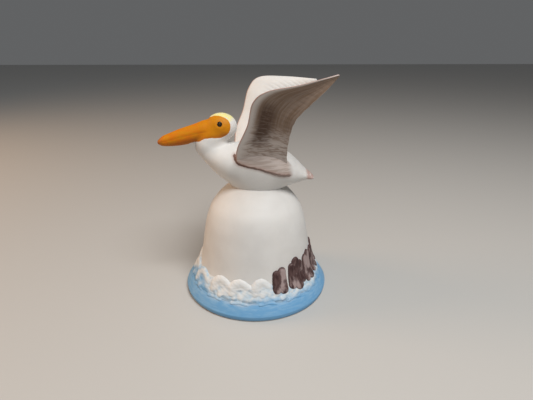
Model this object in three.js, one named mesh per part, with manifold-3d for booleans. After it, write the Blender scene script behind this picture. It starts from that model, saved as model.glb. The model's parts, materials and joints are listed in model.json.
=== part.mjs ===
// A small bisque porcelain bell with a pelican for its handle.
// Millimetres, +Z up. The bill points along -X and the pelican's left wing is on the -Y side.
// Every piece is modelled about the bell's own axis, and one group then shifts the whole bell so that
// the origin lies on the table under the middle of the overall length.

import * as THREE from "three";
import { mergeVertices } from "three/addons/utils/BufferGeometryUtils.js";
import Module from "manifold-3d";

const wasm = await Module();
wasm.setup();

// ---- driving dimensions ----

const AXIS_X = 3.45; // from the origin to the bell's axis
const BELL_SEGMENTS = 48;
const FIT = 0.12; // gap left between sprigged decoration and the wall
const CUT_GAP = 0.3; // gap left where one piece is cut to fit another

const FOOT_INNER_R = 23.9;
const FOOT_OUTER_R = 26.1;
const LIP_R = 27.5; // the widest part of the bell
const LIP_Z = 2.1;
const VENT_R = 2.2;
const CROWN_Z = 30; // where the wall starts to close in to the crown

const CAVITY_RADII = [10.5, 6.6, 4]; // the hollow that slip casting leaves in the body
const CAVITY_CENTRE = [-0.5, 0, 50];
const DRAIN_R = 2.6;
const DRAIN_TOP_Z = 49;
const SEAT_RADII = [11.5, 9.6, 9]; // the swell of the belly where it sits over the crown
const SEAT_CENTRE = [1, 0, 45.5];

const HANGER_TURN = Math.PI / 4; // the clapper swings fore and aft and sideways through 45 degree axes
const STAPLE_WIRE_R = 0.45;
const STAPLE_BEND_R = 1.3;
const STAPLE_PIVOT_Z = 37.4;
const STAPLE_TOP_Z = 43.4;
const PLUG_R = 2;
const PLUG_HOLE_R = 0.6;
const PLUG_TOP_Z = 45;
const PLUG_COLLAR_Z = 39.4;

const RING_WIRE_R = 0.4;
const RING_R = 1.7;
const LINK_PLAY = 0.12;

const ROD_WIRE_R = 0.45;
const EYE_R = 1.15;
const BEAD_R = 4.5;
const BEAD_BORE_R = 0.65;
const BEAD_Z = 9.5;
const HOOK_REACH = 1.9; // how far the rod's lower end turns out under the bead

const PALE = new THREE.MeshStandardMaterial({ color: 0xe6e3de, roughness: 0.62, metalness: 0 });
const FOAM = new THREE.MeshStandardMaterial({ color: 0xd5dfe4, roughness: 0.62, metalness: 0 });
const TIMBER = new THREE.MeshStandardMaterial({ color: 0x5c4444, roughness: 0.7, metalness: 0 });
const FEATHER = new THREE.MeshStandardMaterial({ color: 0xc9c0ba, roughness: 0.65, metalness: 0 });
const PLASTER = new THREE.MeshStandardMaterial({ color: 0xd8d2c4, roughness: 0.9, metalness: 0 });
const WIRE = new THREE.MeshStandardMaterial({ color: 0x9a9a98, roughness: 0.35, metalness: 1 });
const BEAD = new THREE.MeshStandardMaterial({ color: 0xeeece8, roughness: 0.4, metalness: 0 });

// ---- small helpers ----

const radians = THREE.MathUtils.degToRad;
const v2 = (x, y) => new THREE.Vector2(x, y);
const v3 = (x, y, z) => new THREE.Vector3(x, y, z);

function toSolid(geometry) {
  const bare = geometry.clone();
  bare.deleteAttribute("normal");
  bare.deleteAttribute("uv");
  const merged = mergeVertices(bare, 1e-5);
  return new wasm.Manifold(
    new wasm.Mesh({
      numProp: 3,
      vertProperties: new Float32Array(merged.attributes.position.array),
      triVerts: new Uint32Array(merged.index.array),
    }),
  );
}

function toGeometry(solid) {
  const mesh = solid.getMesh();
  const geometry = new THREE.BufferGeometry();
  geometry.setAttribute("position", new THREE.BufferAttribute(mesh.vertProperties, 3));
  geometry.setIndex(new THREE.BufferAttribute(mesh.triVerts, 1));
  geometry.computeVertexNormals();
  return geometry;
}

function named(name, geometry, material) {
  const mesh = new THREE.Mesh(geometry, material);
  mesh.name = name;
  return mesh;
}

// A profile of (radius, height) points turned about the Z axis.
function turned(profile, segments) {
  return new THREE.LatheGeometry(profile, segments).rotateX(Math.PI / 2);
}

function wireAlong(curve, radius, steps) {
  const section = new THREE.Shape().absarc(0, 0, radius, 0, 2 * Math.PI);
  return new THREE.ExtrudeGeometry(section, {
    steps,
    extrudePath: curve,
    bevelEnabled: false,
    curveSegments: 4,
  });
}

// Joins rings of equally many points into one closed body, with a fan over each end.
function skin(rings) {
  const count = rings[0].length;
  const points = rings.flat();
  const triangles = [];
  for (let i = 0; i + 1 < rings.length; i++) {
    for (let j = 0; j < count; j++) {
      const a = i * count + j;
      const b = i * count + ((j + 1) % count);
      triangles.push(a, b, a + count, b, b + count, a + count);
    }
  }
  const lastStart = (rings.length - 1) * count;
  for (const [ring, start, flip] of [
    [rings[0], 0, true],
    [rings.at(-1), lastStart, false],
  ]) {
    const centre = ring.reduce((sum, p) => sum.add(p), v3(0, 0, 0)).divideScalar(count);
    const middle = points.push(centre) - 1;
    for (let j = 0; j < count; j++) {
      const a = start + j;
      const b = start + ((j + 1) % count);
      triangles.push(...(flip ? [middle, b, a] : [middle, a, b]));
    }
  }
  const geometry = new THREE.BufferGeometry().setFromPoints(points);
  geometry.setIndex(triangles);
  return geometry;
}

// ---- the bell ----

// The outer wall from the foot's widest line to the edge of the vent, as (radius, height).
const outerWall = new THREE.SplineCurve([
  v2(LIP_R, LIP_Z),
  v2(26.2, 4.2),
  v2(23.4, 8),
  v2(21.3, 13),
  v2(19.6, 23),
  v2(18, 30),
  v2(15.6, 35.2),
  v2(10.4, 40.5),
  v2(VENT_R, 43.4),
]);

// The inner wall from the foot to the vent.
const innerWall = new THREE.SplineCurve([
  v2(23, 1.2),
  v2(21.4, 6),
  v2(19.2, 12),
  v2(17.4, 22),
  v2(15.7, 29),
  v2(13.2, 34),
  v2(8.6, 38.4),
  v2(VENT_R, 40.8),
]);

const wallSamples = outerWall.getPoints(200);

function wallRadius(height) {
  const above = Math.max(1, wallSamples.findIndex((p) => p.y >= height));
  const [p, q] = [wallSamples[above - 1], wallSamples[above]];
  return p.x + ((q.x - p.x) * (height - p.y)) / (q.y - p.y);
}

function bellShell() {
  const footEdge = new THREE.QuadraticBezierCurve(v2(FOOT_OUTER_R, 0), v2(27.4, 0.3), v2(LIP_R, LIP_Z));
  const profile = [
    ...footEdge.getPoints(3),
    ...outerWall.getPoints(18).slice(1),
    ...innerWall.getPoints(10).reverse(),
    v2(FOOT_INNER_R, 0),
    v2(FOOT_OUTER_R, 0),
  ];
  return turned(profile, BELL_SEGMENTS);
}

// A raised patch that follows the wall. angles are degrees from the -Y side towards +X; low and high
// give its edges at an angle, and rise its thickness at an angle and a fraction of the height.
function raisedPatch({ angles, closed, rows, low, high, rise }) {
  const layers = [];
  for (const proud of [false, true]) {
    for (const angle of angles) {
      const turn = radians(angle);
      for (let j = 0; j <= rows; j++) {
        const z = THREE.MathUtils.lerp(low(angle), high(angle), j / rows);
        const r = wallRadius(z) + FIT + (proud ? rise(angle, j / rows) : 0);
        layers.push(v3(r * Math.sin(turn), -r * Math.cos(turn), z));
      }
    }
  }
  const half = layers.length / 2;
  const triangles = [];
  const quad = (a, b, c, d) => triangles.push(a, b, c, a, c, d);
  const spans = closed ? angles.length : angles.length - 1;
  for (let i = 0; i < spans; i++) {
    const here = i * (rows + 1);
    const next = ((i + 1) % angles.length) * (rows + 1);
    for (let j = 0; j < rows; j++) {
      quad(half + here + j, half + next + j, half + next + j + 1, half + here + j + 1);
      quad(here + j, here + j + 1, next + j + 1, next + j);
    }
    quad(here, next, half + next, half + here);
    quad(here + rows, half + here + rows, half + next + rows, next + rows);
  }
  if (!closed) {
    const last = (angles.length - 1) * (rows + 1);
    for (let j = 0; j < rows; j++) {
      quad(j, half + j, half + j + 1, j + 1);
      quad(last + j, last + j + 1, half + last + j + 1, half + last + j);
    }
  }
  const geometry = new THREE.BufferGeometry().setFromPoints(layers);
  geometry.setIndex(triangles);
  return geometry;
}

// ---- waves and mooring piles ----

// Each pile: its angle, half its width in degrees, and the heights of its foot and its top.
const PILE_CLUSTERS = [
  [
    [18.5, 3.6, 8, 15.5],
    [25, 5, 7.8, 16.3],
  ],
  [
    [35.5, 3, 7.8, 17],
    [42.5, 4.8, 7.6, 18.2],
    [49.5, 2.4, 8.6, 16.5],
  ],
  [
    [56, 3.6, 8, 17.2],
    [63.5, 4.4, 7.8, 18],
  ],
  [
    [74, 3.8, 8, 18],
    [82, 4, 8, 17.3],
  ],
  [
    [95, 4, 8, 17.6],
    [102.5, 3.6, 8, 16.4],
  ],
];
const PILE_RISE = 1;
const PILE_EDGE = 0.25; // thickness of a pile along its sides
const WAVE_LOW_Z = 4.6;
const WAVE_TROUGH_Z = 9.6;
const WAVE_CREST_Z = 12.8;
const WAVE_UNDER_PILES_Z = 7.2;
const WAVE_STEP = 5;
const WAVE_EDGE = 0.3; // thickness along the lower edge
const WAVE_RISE = 0.6; // how much thicker the crests are
const WAVE_HALF_WIDTH = 13;
const WAVE_CRESTS = [-60, -33, -9, 5, -84, -108, -132, -156, 180, 156, 132];
const SHORE = [9, 111]; // the stretch where the piles stand and the waves run low

const wrap = (degrees) => ((((degrees + 180) % 360) + 360) % 360) - 180;

function waveTop(angle) {
  if (angle > SHORE[0] && angle < SHORE[1]) return WAVE_UNDER_PILES_Z;
  const lobe = (crest) => 1 - (wrap(angle - crest) / WAVE_HALF_WIDTH) ** 2;
  const height = Math.max(0, ...WAVE_CRESTS.map(lobe));
  return WAVE_TROUGH_Z + (WAVE_CREST_Z - WAVE_TROUGH_Z) * height;
}

function waveRelief() {
  const angles = [];
  for (let angle = -180; angle < 180; angle += WAVE_STEP) angles.push(angle);
  return raisedPatch({
    angles,
    closed: true,
    rows: 3,
    low: () => WAVE_LOW_Z,
    high: waveTop,
    rise: (angle, t) => WAVE_EDGE + WAVE_RISE * t * (0.75 + 0.25 * Math.cos(radians(angle * 15))),
  });
}

function pileCluster(piles) {
  const height = (pile, angle) => Math.sqrt(Math.max(0, 1 - ((angle - pile[0]) / pile[1]) ** 2));
  const nearest = (angle) =>
    piles.reduce((best, pile) => (height(pile, angle) > height(best, angle) ? pile : best));
  const first = piles[0][0] - piles[0][1];
  const last = piles.at(-1)[0] + piles.at(-1)[1];
  const steps = 4 * piles.length;
  const angles = Array.from({ length: steps + 1 }, (_, i) => THREE.MathUtils.lerp(first, last, i / steps));
  return raisedPatch({
    angles,
    closed: false,
    rows: 3,
    low: (angle) => nearest(angle)[2],
    high: (angle) => nearest(angle)[3],
    rise: (angle) => PILE_EDGE + PILE_RISE * height(nearest(angle), angle),
  });
}

// ---- the pelican ----

// A body of oval sections along a line in the XZ plane.
// Each section: x, z, half its height across the line, half its width along Y.
function ovalLoft(sections, grow, around, along) {
  const line = new THREE.CatmullRomCurve3(sections.map(([x, z]) => v3(x, 0, z)), false, "centripetal");
  const size = new THREE.SplineCurve(sections.map(([, , height, width]) => v2(height, width)));
  const rings = [];
  for (let i = 0; i <= along; i++) {
    const t = i / along;
    const centre = line.getPoint(t);
    const ahead = line.getTangent(t);
    const up = v3(-ahead.z, 0, ahead.x);
    const half = size.getPoint(t);
    const ring = [];
    for (let j = 0; j < around; j++) {
      const turn = (2 * Math.PI * j) / around;
      const rise = (half.x + grow) * Math.sin(turn);
      const side = (half.y + grow) * Math.cos(turn);
      ring.push(centre.clone().addScaledVector(up, rise).add(v3(0, side, 0)));
    }
    rings.push(ring);
  }
  return toSolid(skin(rings));
}

const TRUNK = [
  [-19, 53.8, 0.8, 1.2],
  [-17, 52.7, 2.8, 4.2],
  [-13.4, 51.2, 5.2, 7.2],
  [-8, 49.6, 7.2, 9.4],
  [0, 49, 7.7, 10.3],
  [8, 48, 6.8, 9.6],
  [14, 46.4, 4.6, 7],
  [18.4, 44.9, 2.1, 4.4],
  [21.2, 43.9, 0.7, 2.4],
];
const NECK = [
  [-9.8, 49.6, 4.9, 6.8],
  [-14.6, 53.3, 5, 6],
  [-16, 56.6, 5.4, 5.2],
  [-13.8, 60.4, 4.9, 4.7],
];
const HEAD = [
  [-17.4, 61.4, 2.6, 2.8],
  [-15.4, 62, 4, 4],
  [-12.2, 62.7, 4.8, 4.8],
  [-9, 62.9, 3.9, 4],
  [-6.5, 62.7, 1.2, 1.3],
];
const BILL = [
  [-13, 61.4, 3.6, 4],
  [-18.6, 60.2, 3.3, 3.3],
  [-24, 59, 2.9, 2.8],
  [-29.5, 57.8, 2.1, 2.3],
  [-33, 57.2, 1.4, 1.7],
  [-34.4, 57, 0.5, 0.7],
];

function trunk(grow) {
  return ovalLoft(TRUNK, grow, 20, 16);
}

// The crown of the bell, grown by the gap, as the tool that shapes the pelican's seat.
function crownCutter() {
  const grown = outerWall.getPoints(40).filter((p) => p.y > CROWN_Z);
  const profile = grown.map((p) => v2(p.x + CUT_GAP, p.y + CUT_GAP));
  const base = [v2(0, CROWN_Z), v2(profile[0].x, CROWN_Z)];
  const top = v2(0, profile.at(-1).y);
  return toSolid(turned([...base, ...profile.slice(1), top], BELL_SEGMENTS));
}

function bodyCavity() {
  const hollow = new THREE.SphereGeometry(1, 16, 8).scale(...CAVITY_RADII).translate(...CAVITY_CENTRE);
  const depth = DRAIN_TOP_Z - PLUG_COLLAR_Z;
  const drain = new THREE.CylinderGeometry(DRAIN_R, DRAIN_R, depth, 24).rotateX(Math.PI / 2);
  return toSolid(hollow).add(toSolid(drain.translate(0, 0, DRAIN_TOP_Z - depth / 2)));
}

function belly() {
  const ball = new THREE.SphereGeometry(1, 24, 12).scale(...SEAT_RADII);
  return toSolid(ball.translate(...SEAT_CENTRE));
}

function pelicanBody() {
  const whole = trunk(0)
    .add(belly())
    .add(ovalLoft(NECK, 0, 18, 6))
    .add(ovalLoft(HEAD, 0, 18, 8))
    .add(ovalLoft(BILL, 0, 14, 8));
  return toGeometry(whole.subtract(crownCutter()).subtract(bodyCavity()));
}

// ---- the wings ----

// The leading and trailing edges from the root to the tip, as x, distance from the middle, z.
const LEFT_WING = {
  side: -1,
  lead: [
    [-6.6, 7.4, 51.6],
    [-5.9, 12, 57.6],
    [-2.4, 16.8, 66],
    [-0.6, 21.6, 73.6],
    [3.6, 23.2, 77],
    [13.1, 20.5, 78.5],
    [26.3, 12.6, 81],
  ],
  trail: [
    [11.4, 6, 46.6],
    [10.9, 9, 54.6],
    [11.5, 12.4, 62],
    [13.1, 15, 67.4],
    [17.4, 15.2, 71.9],
    [22, 14.2, 76],
    [26, 12.4, 80],
  ],
};
const RIGHT_WING = {
  side: 1,
  lead: [
    [-7.8, 7, 52],
    [-7.3, 12, 58.9],
    [-4.6, 17, 65.4],
    [-2.4, 21, 73],
    [1.9, 22.8, 77.2],
    [12, 20.6, 77.6],
    [23.4, 13.6, 77.2],
  ],
  trail: [
    [11, 6, 46.8],
    [10.4, 9, 54.4],
    [10.6, 12.4, 61.6],
    [12, 15, 66.6],
    [15.6, 15.2, 70.4],
    [19.6, 14.4, 73.6],
    [23, 13.4, 76.2],
  ],
};
const WING_THICKNESS = 2.2;
const WING_TIP_THICKNESS = 0.9;
const WING_REAR_TAPER = 0.45; // how much of the thickness is lost towards the rear edge
const WING_CAMBER = 0.1; // of the chord, hollow on the side away from the body

function wingBlade({ side, lead, trail }) {
  const edge = (points) => new THREE.CatmullRomCurve3(points.map(([x, y, z]) => v3(x, side * y, z)));
  const [front, back] = [edge(lead), edge(trail)];
  const along = 16;
  const around = 14;
  const rings = [];
  for (let i = 0; i <= along; i++) {
    const t = i / along;
    const a = front.getPoint(t);
    const b = back.getPoint(t);
    const chord = b.clone().sub(a);
    const span = front.getTangent(t).lerp(back.getTangent(t), 0.5);
    const upper = chord.clone().cross(span).normalize().multiplyScalar(-1);
    const thick = THREE.MathUtils.lerp(WING_THICKNESS, WING_TIP_THICKNESS, t ** 2) / 2;
    const ring = [];
    for (let j = 0; j < around; j++) {
      const turn = (2 * Math.PI * j) / around;
      const u = (1 - Math.cos(turn)) / 2;
      const bow = 4 * WING_CAMBER * chord.length() * u * (1 - u);
      const taper = 1 - WING_REAR_TAPER * u;
      const lift = bow + thick * taper * Math.sin(turn);
      ring.push(a.clone().addScaledVector(chord, u).addScaledVector(upper, side < 0 ? lift : -lift));
    }
    rings.push(side < 0 ? ring.reverse() : ring);
  }
  return toGeometry(toSolid(skin(rings)).subtract(trunk(CUT_GAP)));
}

// ---- the hanger and the clapper ----

function stapleCurve() {
  const path = new THREE.CurvePath();
  const bend = STAPLE_PIVOT_Z + STAPLE_BEND_R;
  path.add(new THREE.LineCurve3(v3(-STAPLE_BEND_R, 0, STAPLE_TOP_Z), v3(-STAPLE_BEND_R, 0, bend)));
  const arc = Array.from({ length: 13 }, (_, i) => {
    const turn = Math.PI + (Math.PI * i) / 12;
    return v3(STAPLE_BEND_R * Math.cos(turn), 0, bend + STAPLE_BEND_R * Math.sin(turn));
  });
  path.add(new THREE.CatmullRomCurve3(arc));
  path.add(new THREE.LineCurve3(v3(STAPLE_BEND_R, 0, bend), v3(STAPLE_BEND_R, 0, STAPLE_TOP_Z)));
  return path;
}

function hangerPlug() {
  const profile = [
    v2(0, PLUG_COLLAR_Z),
    v2(3.4, PLUG_COLLAR_Z + 0.2),
    v2(3.9, PLUG_COLLAR_Z + 0.7),
    v2(PLUG_R, PLUG_COLLAR_Z + 1.1),
    v2(PLUG_R, PLUG_TOP_Z),
    v2(0, PLUG_TOP_Z),
  ];
  let plug = toSolid(turned(profile, 32).rotateZ(HANGER_TURN));
  for (const side of [-1, 1]) {
    const depth = STAPLE_TOP_Z + LINK_PLAY - (PLUG_COLLAR_Z - 1);
    const hole = new THREE.CylinderGeometry(PLUG_HOLE_R, PLUG_HOLE_R, depth, 16).rotateX(Math.PI / 2);
    hole.translate(side * STAPLE_BEND_R, 0, STAPLE_TOP_Z + LINK_PLAY - depth / 2).rotateZ(HANGER_TURN);
    plug = plug.subtract(toSolid(hole));
  }
  return toGeometry(plug);
}

function hangerStaple() {
  return wireAlong(stapleCurve(), STAPLE_WIRE_R, 24).rotateZ(HANGER_TURN);
}

const RING_Z = STAPLE_PIVOT_Z + STAPLE_WIRE_R + LINK_PLAY + RING_WIRE_R - RING_R;
const ROD_PIVOT_Z = RING_Z - RING_R;

function hangerRing() {
  const ring = new THREE.TorusGeometry(RING_R, RING_WIRE_R, 8, 24).rotateX(Math.PI / 2);
  return ring.rotateZ(HANGER_TURN + Math.PI / 2).translate(0, 0, RING_Z);
}

function rodCurve() {
  const eyeZ = ROD_PIVOT_Z + RING_WIRE_R + LINK_PLAY + ROD_WIRE_R - EYE_R;
  const seatZ = BEAD_Z - BEAD_R;
  const eye = [];
  for (let angle = -65; angle <= 205; angle += 30) {
    const turn = radians(angle);
    eye.push(v3(EYE_R * Math.cos(turn), 0, eyeZ + EYE_R * Math.sin(turn)));
  }
  const neck = [v3(-0.62 * EYE_R, 0, eyeZ - 1.15 * EYE_R), v3(-0.1, 0, eyeZ - 2.1 * EYE_R)];
  const shank = [0.1, 0.5, 0.9].map((t) => v3(0, 0, THREE.MathUtils.lerp(eyeZ - 3 * EYE_R, seatZ + 1, t)));
  const bend = [
    v3(0, 0, seatZ + 0.6),
    v3(0.12, 0, seatZ - 0.5),
    v3(0.8, 0, seatZ - 1),
    v3(HOOK_REACH, 0, seatZ - 0.95),
  ];
  return new THREE.CatmullRomCurve3([...eye, ...neck, ...shank, ...bend], false, "centripetal");
}

function clapperRod() {
  return wireAlong(rodCurve(), ROD_WIRE_R, 48).rotateZ(HANGER_TURN);
}

function clapperBead() {
  const bore = Math.asin(BEAD_BORE_R / BEAD_R);
  const arc = Array.from({ length: 11 }, (_, i) => {
    const turn = THREE.MathUtils.lerp(-Math.PI / 2 + bore, Math.PI / 2 - bore, i / 10);
    return v2(BEAD_R * Math.cos(turn), BEAD_R * Math.sin(turn));
  });
  return turned([...arc, arc[0]], 24).translate(0, 0, BEAD_Z);
}

// ---- the assembly ----

const bell = new THREE.Group();
bell.position.x = AXIS_X;
bell.add(named("bell_shell", bellShell(), PALE));
bell.add(named("wave_relief", waveRelief(), FOAM));
PILE_CLUSTERS.forEach((piles, i) => {
  bell.add(named(`piling_cluster_${i + 1}`, pileCluster(piles), TIMBER));
});
bell.add(named("pelican_body", pelicanBody(), PALE));
bell.add(named("left_wing", wingBlade(LEFT_WING), FEATHER));
bell.add(named("right_wing", wingBlade(RIGHT_WING), FEATHER));
bell.add(named("hanger_plug", hangerPlug(), PLASTER));
bell.add(named("hanger_staple", hangerStaple(), WIRE));
bell.add(named("hanger_ring", hangerRing(), WIRE));
bell.add(named("clapper_rod", clapperRod(), WIRE));
bell.add(named("clapper_bead", clapperBead(), BEAD));

const scene = new THREE.Group();
scene.add(bell);

export default scene;
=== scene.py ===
import json
import math

import bmesh
import bpy
import numpy as np
from mathutils import Euler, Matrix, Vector


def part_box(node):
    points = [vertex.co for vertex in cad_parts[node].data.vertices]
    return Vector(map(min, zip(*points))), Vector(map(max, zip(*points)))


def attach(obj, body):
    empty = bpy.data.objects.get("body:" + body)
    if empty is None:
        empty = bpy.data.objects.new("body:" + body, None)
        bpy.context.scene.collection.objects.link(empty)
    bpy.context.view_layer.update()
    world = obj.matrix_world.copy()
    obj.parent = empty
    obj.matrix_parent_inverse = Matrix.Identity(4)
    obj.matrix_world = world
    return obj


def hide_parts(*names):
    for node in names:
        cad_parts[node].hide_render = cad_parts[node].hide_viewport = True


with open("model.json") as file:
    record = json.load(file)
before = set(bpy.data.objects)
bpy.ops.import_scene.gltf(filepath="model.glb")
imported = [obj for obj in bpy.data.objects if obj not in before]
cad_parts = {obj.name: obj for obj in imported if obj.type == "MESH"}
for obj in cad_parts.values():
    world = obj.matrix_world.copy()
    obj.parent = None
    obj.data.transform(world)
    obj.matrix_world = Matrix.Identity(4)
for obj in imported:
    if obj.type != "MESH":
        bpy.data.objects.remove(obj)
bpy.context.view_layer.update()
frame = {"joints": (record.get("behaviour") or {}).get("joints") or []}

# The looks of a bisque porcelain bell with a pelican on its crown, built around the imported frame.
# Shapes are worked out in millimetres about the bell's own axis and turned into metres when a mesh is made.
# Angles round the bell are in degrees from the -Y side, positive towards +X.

shell_low, shell_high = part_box("bell_shell")
AXIS_X = (shell_low.x + shell_high.x) / 2  # the bell's axis, in metres
MM = 0.001
RNG = np.random.default_rng(7)

# ---- colours, linear ----

BISQUE = (0.68, 0.665, 0.645)
BISQUE_SHADE = (0.6, 0.58, 0.56)
KILN_FRECKLE = (0.5, 0.44, 0.37)
SKY_BLUE = (0.145, 0.345, 0.58)
PALE_BLUE = (0.37, 0.54, 0.68)
SLATE_BLUE = (0.11, 0.2, 0.3)
FOAM_WHITE = (0.7, 0.725, 0.735)
PILE_DARK = (0.05, 0.024, 0.024)
PILE_MID = (0.12, 0.07, 0.066)
PILE_HIGHLIGHT = (0.4, 0.31, 0.3)
ORANGE = (0.6, 0.155, 0.001)
AMBER = (0.56, 0.205, 0.001)
RUST = (0.3, 0.07, 0.012)
CREST_YELLOW = (0.8, 0.72, 0.22)
EYE_BLACK = (0.008, 0.007, 0.007)
EYE_IRIS_GLINT = (0.06, 0.038, 0.008)
UMBER = (0.066, 0.032, 0.018)
WING_WASH_AND_SHADE = (0.165, 0.096, 0.052)
WING_MAUVE = (0.47, 0.385, 0.345)
ROSE_BROWN = (0.42, 0.25, 0.21)
PLASTER = (0.6, 0.56, 0.48)
PLASTER_SHADE = (0.44, 0.4, 0.33)
STEEL = (0.5, 0.49, 0.47)
STEEL_TARNISH = (0.3, 0.26, 0.22)
BEAD_WHITE = (0.74, 0.73, 0.7)
BEAD_CLOUD = (0.66, 0.64, 0.6)
BEAD_SCUFF = (0.3, 0.29, 0.28)


# ---- meshes ----


def add_mesh(name, points, faces, layers=None):
    """A smooth mesh object from points in mm about the bell's axis; layers are named numbers per point."""
    placed = np.asarray(points, float) * MM + (AXIS_X, 0, 0)
    mesh = bpy.data.meshes.new(name)
    rows = faces if isinstance(faces, list) else faces.tolist()
    mesh.from_pydata(placed.tolist(), [], [tuple(int(i) for i in row) for row in rows])
    face_outwards(mesh)
    mesh.shade_smooth()
    for label, values in (layers or {}).items():
        attribute = mesh.attributes.new(label, "FLOAT", "POINT")
        attribute.data.foreach_set("value", np.ravel(values).astype(np.float32))
    piece = bpy.data.objects.new(name, mesh)
    bpy.context.scene.collection.objects.link(piece)
    return piece


def face_outwards(mesh):
    shape = bmesh.new()
    shape.from_mesh(mesh)
    bmesh.ops.recalc_face_normals(shape, faces=shape.faces)
    shape.to_mesh(mesh)
    shape.free()
    mesh.update()


def grid_faces(rows, columns, wrap_rows=False, wrap_columns=False):
    """Quads of a rows by columns grid of points stored row by row."""
    r = np.arange(rows if wrap_rows else rows - 1)
    c = np.arange(columns if wrap_columns else columns - 1)
    r, c = np.meshgrid(r, c, indexing="ij")
    r_next, c_next = (r + 1) % rows, (c + 1) % columns
    quads = [r * columns + c, r * columns + c_next, r_next * columns + c_next, r_next * columns + c]
    return np.stack(quads, -1).reshape(-1, 4)


def spline(knots, count):
    """A smooth line through the knots, as count points; the same curve as a Catmull-Rom spline."""
    knots = np.asarray(knots, float)
    last = len(knots) - 1
    place = np.linspace(0, last, count)
    i = np.minimum(place.astype(int), last - 1)
    t = (place - i)[:, None]
    p0 = knots[np.maximum(i - 1, 0)]
    p1 = knots[i]
    p2 = knots[i + 1]
    p3 = knots[np.minimum(i + 2, last)]
    v1, v2 = (p2 - p0) / 2, (p3 - p1) / 2
    return (2 * p1 - 2 * p2 + v1 + v2) * t**3 + (-3 * p1 + 3 * p2 - 2 * v1 - v2) * t**2 + v1 * t + p1


def smoothstep(low, high, value):
    """0 at low, 1 at high, easing in between; low may be the larger."""
    t = np.clip((value - low) / (high - low), 0, 1)
    return t * t * (3 - 2 * t)


def wrap_angle(degrees):
    return (degrees + 180) % 360 - 180


# ---- the bell's wall, as in the frame ----

OUTER_KNOTS = [
    (27.5, 2.1),
    (26.2, 4.2),
    (23.4, 8),
    (21.3, 13),
    (19.6, 23),
    (18, 30),
    (15.6, 35.2),
    (10.4, 40.5),
    (2.2, 43.4),
]
INNER_KNOTS = [
    (23, 1.2),
    (21.4, 6),
    (19.2, 12),
    (17.4, 22),
    (15.7, 29),
    (13.2, 34),
    (8.6, 38.4),
    (2.2, 40.8),
]
OUTER_WALL = spline(OUTER_KNOTS, 400)
TRUE_EDGE_R = 27.3  # beyond this radius the wall is left truly round, so that the foot keeps its size


def wall_radius(height):
    return np.interp(height, OUTER_WALL[:, 1], OUTER_WALL[:, 0])


def on_wall(angle, height, proud):
    """Points that stand proud of the outer wall by so much, in mm."""
    turn = np.radians(angle)
    r = wall_radius(height) + proud
    return np.stack([r * np.sin(turn), -r * np.cos(turn), height + 0 * r], -1)


# ---- relief: waves and mooring piles ----

MEAN_R = 23  # turns degrees round the foot into mm
SLOPE = 1.12  # mm along the wall for 1 mm of height
BURIED = -0.3  # where a relief piece dips out of sight under the wall's surface
SKIN_BACK = 0.4  # how far the hidden back of a relief piece lies behind that
NO_RELIEF = -9.0  # the height where there is no stroke near


def stroke_height(angle, height, path, width, rise, flat=0.7):
    """Relief of one modelled stroke: a rounded ridge along path, points of (angle, height)."""
    unit = (MEAN_R * math.pi / 180, SLOPE)
    x = wrap_angle(angle - path[0][0]) * unit[0]
    y = (height - path[0][1]) * unit[1]
    route = np.array([((a - path[0][0]) * unit[0], (z - path[0][1]) * unit[1]) for a, z in path])
    best = np.full(np.shape(x), NO_RELIEF)
    pieces = len(route) - 1
    for i, (a, b) in enumerate(zip(route[:-1], route[1:])):
        run = b - a
        t = np.clip(((x - a[0]) * run[0] + (y - a[1]) * run[1]) / (run @ run), 0, 1)
        distance = np.hypot(x - a[0] - t * run[0], y - a[1] - t * run[1])
        along = (i + t) / pieces
        w = width[0] + (width[1] - width[0]) * along
        full = np.clip(1 - (distance / w) ** 2, 0, 1) ** flat
        ridge = (rise[0] + (rise[1] - rise[0]) * along) * full
        best = np.maximum(best, np.where(distance < w, ridge, (w - distance) * 1.5))
    return best


def crest_strokes(centre, top, half):
    """A breaking crest: a broad swell, a rounded lip thrown over it and lobes of foam below."""
    swell = [(-0.9, -3), (-0.3, -1.5), (0.3, -1.6), (1.3, -3.1)]
    lip = [(-0.95, -1.7), (-0.55, -0.5), (-0.05, 0), (0.45, -0.35), (0.95, -1.2), (1.45, -1.9)]
    strokes = [
        ([(centre + half * a, top - 0.9 + z) for a, z in swell], (2.2, 1.5), (0.76, 0.55)),
        ([(centre + half * a, top - 0.9 + z) for a, z in lip], (1.75, 1.1), (1, 0.66)),
    ]
    for offset, drop, size in ((-0.5, 3.6, 1.6), (0.55, 4.2, 1.65)):
        at = centre + half * offset
        lobe = [(at - 2.6, top - drop - 0.7), (at, top - drop), (at + 2.6, top - drop - 0.5)]
        strokes.append((lobe, (size, size * 0.8), (0.78, 0.55)))
    return strokes


def foam_scallop(centre, z, half):
    """One low arch of foam."""
    path = [(centre - half, z - 0.5), (centre, z + 0.25), (centre + half, z - 0.6)]
    return (path, (1.15, 0.85), (0.55, 0.4))


# Each crest on the front: its angle, the height of its top and half its width in degrees.
FRONT_CRESTS = [(-82, 11.9, 9), (-60, 11.7, 8), (-34, 12.5, 8), (-15, 12.7, 7.5), (4.5, 13.3, 5.5)]
SHORE = (12, 108)  # the stretch with piles, where the waves run low


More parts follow.
